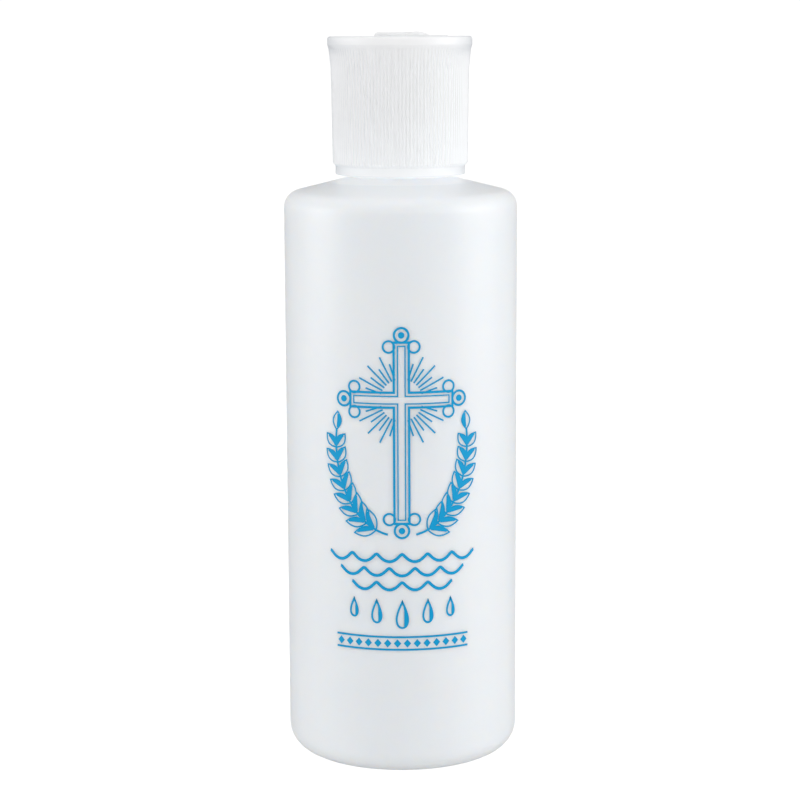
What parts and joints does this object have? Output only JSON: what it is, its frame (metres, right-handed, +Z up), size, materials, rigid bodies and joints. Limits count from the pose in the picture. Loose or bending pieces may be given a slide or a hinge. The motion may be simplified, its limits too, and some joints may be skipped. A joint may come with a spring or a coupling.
{
  "type": "holy water bottle",
  "caption": "Round squeeze bottle for holy water, with a threaded neck, a finely ribbed screw cap and a spout that flips up from the cap to pour.",
  "frame": {"origin": "centre of the standing ring under the base, on the surface that the bottle stands on", "axes": "+Z up along the bottle's axis; the printed front faces -Y; the closed spout points to -X"},
  "size_m": [0.048, 0.048, 0.1495],
  "materials": {
    "bottle_shell": "natural polyethylene, frosted and milky, satin outside",
    "liner_foam": "closed-cell foam, matt",
    "cap_plastic": "natural polypropylene, ribbed skirt, satin",
    "spout_plastic": "natural polypropylene, smooth, satin"
  },
  "bodies": {
    "bottle": {"bottle": "bottle_shell"},
    "liner": {"liner": "liner_foam"},
    "cap": {"cap": "cap_plastic"},
    "spout": {"spout": "spout_plastic"}
  },
  "joints": [
    {"name": "cap_lift", "type": "slide", "parent": "bottle", "child": "liner", "axis": [0, 0, 1], "range_m": [0, 0.01905]},
    {"name": "cap_turn", "type": "hinge", "parent": "liner", "child": "cap", "pos_m": [0, 0, 0.138], "axis": [0, 0, 1], "range_deg": [0, 2160]},
    {"name": "spout_flip", "type": "hinge", "parent": "cap", "child": "spout", "pos_m": [0.0035, 0, 0.14465], "axis": [0, 1, 0], "range_deg": [0, 90]}
  ],
  "couplings": [
    {"joint": "cap_lift", "follows": "cap_turn", "m_per_rad": 0.00050532}
  ]
}
